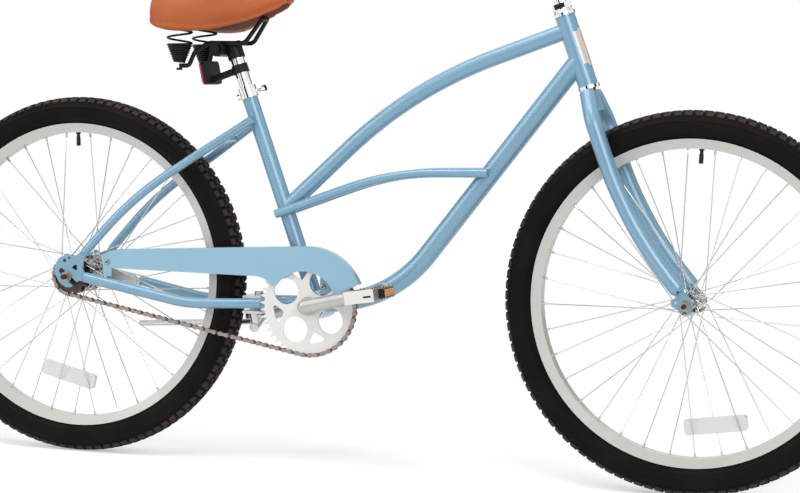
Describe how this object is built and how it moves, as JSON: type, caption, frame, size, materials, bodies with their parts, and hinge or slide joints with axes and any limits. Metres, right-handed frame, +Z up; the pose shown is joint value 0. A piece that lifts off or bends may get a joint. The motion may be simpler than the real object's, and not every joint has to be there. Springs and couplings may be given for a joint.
{
  "type": "beach cruiser bicycle",
  "caption": "Low-slung cruiser bicycle with a curved tube frame, balloon tyres, chain drive under a guard, coaster-brake hub, sprung saddle, swept handlebar and folding stand.",
  "frame": {"origin": "on the ground, midway between the two axles, in the middle plane", "axes": "+X forward to the front wheel, +Y to the rider's left, +Z up"},
  "size_m": [1.8279, 0.7036, 1.0071],
  "materials": {
    "frame_paint": "light blue metallic paint, clear-coated",
    "chrome": "bright chrome plate",
    "zinc_steel": "zinc-plated steel",
    "rim_silver": "satin silver",
    "hub_metal": "plated steel hub shell",
    "black_paint": "black enamel",
    "black_plastic": "black moulded plastic",
    "red_lens": "red prismatic lens",
    "clear_lens": "clear prismatic lens",
    "tyre_rubber": "black rubber with block tread",
    "grip_rubber": "tan rubber grip",
    "saddle_vinyl": "tan vinyl with a sewn seam"
  },
  "bodies": {
    "frame": {"head_tube": "frame_paint", "top_tube": "frame_paint", "down_tube": "frame_paint", "seat_tube": "frame_paint", "mid_tubes": "frame_paint", "bottom_bracket_shell": "frame_paint", "chainstays": "frame_paint", "seatstays": "frame_paint", "rear_dropouts": "frame_paint", "stay_bridges": "frame_paint", "headset_cups": "chrome", "bottom_bracket_cups": "chrome", "seat_clamp": "chrome", "chain_guard": "frame_paint", "guard_brackets": "zinc_steel", "drive_chain": "zinc_steel", "rear_axle": "zinc_steel", "rear_axle_nuts": "chrome", "brake_arm": "zinc_steel", "kickstand_bracket": "zinc_steel"},
    "seatpost": {"seatpost": "chrome", "saddle_clamp": "black_paint", "saddle_rails": "black_paint", "saddle_springs": "black_paint", "reflector_bracket": "black_plastic", "rear_reflector": "red_lens"},
    "saddle": {"saddle_base": "black_plastic", "saddle_cover": "saddle_vinyl"},
    "steering": {"fork_steerer": "zinc_steel", "fork_blades": "frame_paint", "fork_dropouts": "frame_paint", "headset_races": "chrome", "stem": "chrome", "stem_bolts": "chrome", "handlebar": "chrome", "grips": "grip_rubber", "front_axle": "zinc_steel", "front_axle_nuts": "chrome"},
    "front_wheel": {"front_tyre": "tyre_rubber", "front_rim": "rim_silver", "front_spokes": "zinc_steel", "front_hub": "hub_metal", "front_valve": "zinc_steel", "front_wheel_reflector": "clear_lens"},
    "rear_wheel": {"rear_tyre": "tyre_rubber", "rear_rim": "rim_silver", "rear_spokes": "zinc_steel", "rear_hub": "hub_metal", "rear_valve": "zinc_steel", "rear_wheel_reflector": "clear_lens"},
    "sprocket": {"rear_sprocket": "zinc_steel"},
    "crank": {"crank": "chrome", "chainring": "zinc_steel", "crank_cones": "chrome", "pedal_spindles": "zinc_steel"},
    "right_pedal": {"right_pedal_body": "black_plastic", "right_pedal_cage": "zinc_steel"},
    "left_pedal": {"left_pedal_body": "black_plastic", "left_pedal_cage": "zinc_steel"},
    "kickstand": {"kickstand_leg": "rim_silver"}
  },
  "joints": [
    {"name": "steering", "type": "hinge", "parent": "frame", "child": "steering", "pos_m": [0.3903, 0, 0.7009], "axis": [-0.3486, 0, 0.9373], "range_deg": [-69, 69]},
    {"name": "front_wheel_spin", "type": "hinge", "parent": "steering", "child": "front_wheel", "pos_m": [0.582, 0, 0.332], "axis": [0, 1, 0], "continuous": true},
    {"name": "rear_wheel_spin", "type": "hinge", "parent": "frame", "child": "rear_wheel", "pos_m": [-0.582, 0, 0.332], "axis": [0, 1, 0], "continuous": true},
    {"name": "crank_spin", "type": "hinge", "parent": "frame", "child": "crank", "pos_m": [-0.10691, 0, 0.2982], "axis": [0, 1, 0], "continuous": true, "deforming": ["drive_chain"]},
    {"name": "sprocket_spin", "type": "hinge", "parent": "frame", "child": "sprocket", "pos_m": [-0.582, 0, 0.332], "axis": [0, 1, 0], "continuous": true},
    {"name": "right_pedal_spin", "type": "hinge", "parent": "crank", "child": "right_pedal", "pos_m": [0.04096, -0.12, 0.33343], "axis": [0, 1, 0], "continuous": true},
    {"name": "left_pedal_spin", "type": "hinge", "parent": "crank", "child": "left_pedal", "pos_m": [-0.25477, 0.12, 0.26297], "axis": [0, 1, 0], "continuous": true},
    {"name": "kickstand_swing", "type": "hinge", "parent": "frame", "child": "kickstand", "pos_m": [-0.23791, 0.04, 0.2562], "axis": [-0.0329, -0.9055, -0.4231], "range_deg": [0, 90]},
    {"name": "seatpost_height", "type": "slide", "parent": "frame", "child": "seatpost", "axis": [-0.3469, 0, 0.9379], "range_m": [-0.025, 0.06]},
    {"name": "saddle_bounce", "type": "hinge", "parent": "seatpost", "child": "saddle", "pos_m": [-0.21687, 0, 0.81085], "axis": [0, -1, 0], "range_deg": [0, 4], "stiffness_Nm_per_rad": 480, "springref_deg": -1.72, "deforming": ["saddle_springs"]}
  ],
  "couplings": [
    {"joint": "sprocket_spin", "follows": "crank_spin", "ratio": 2.5882}
  ]
}
